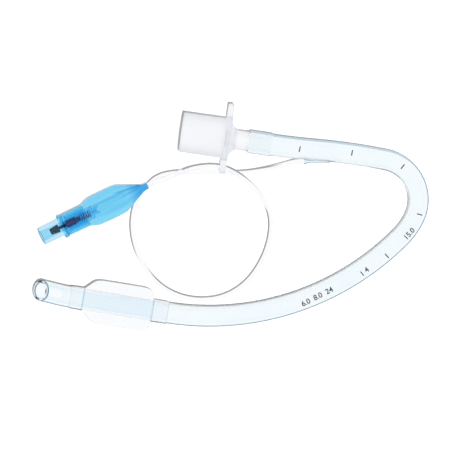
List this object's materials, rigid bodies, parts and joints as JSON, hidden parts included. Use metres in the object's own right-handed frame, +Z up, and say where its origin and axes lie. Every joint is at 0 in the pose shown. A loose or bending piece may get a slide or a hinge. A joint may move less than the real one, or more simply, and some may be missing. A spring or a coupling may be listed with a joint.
{
  "type": "endotracheal tube",
  "caption": "Preformed cuffed breathing tube with a sharp bend, inflatable cuff, eared cone connector, thin looped inflation line, pilot balloon and sprung syringe valve.",
  "frame": {"origin": "on the table that the tube lies on, under the centre of the box round the shaft, cuff and connector, without the inflation line and what is on it", "axes": "+X from the patient end and the connector towards the sharp bend, +Y from the cuffed leg towards the connector's leg, +Z up from the table"},
  "size_m": [0.1517, 0.0865, 0.0177],
  "materials": {
    "clear_pvc": "clear, faintly blue",
    "cuff_film": "clear film",
    "frosted_polypropylene": "translucent, satin",
    "line_pvc": "clear",
    "blue_film": "translucent blue film",
    "blue_plastic": "translucent light blue",
    "dark_plastic": "charcoal",
    "seal_rubber": "matte",
    "spring_steel": "bright drawn wire"
  },
  "bodies": {
    "root": {"tube_shaft": "clear_pvc", "cuff": "cuff_film", "connector": "frosted_polypropylene", "line_root": "line_pvc", "inflation_line": "line_pvc", "pilot_balloon": "blue_film", "luer_port": "blue_plastic", "valve_body": "blue_plastic", "valve_spring": "spring_steel"},
    "plunger": {"valve_plunger": "dark_plastic", "valve_seal": "seal_rubber"}
  },
  "joints": [
    {"name": "valve_slide", "type": "slide", "parent": "root", "child": "plunger", "axis": [0.9018, 0.4321, 0], "range_m": [0, 0.0015], "stiffness_N_per_m": 800, "springref_m": -0.001, "deforming": ["valve_spring"]}
  ]
}
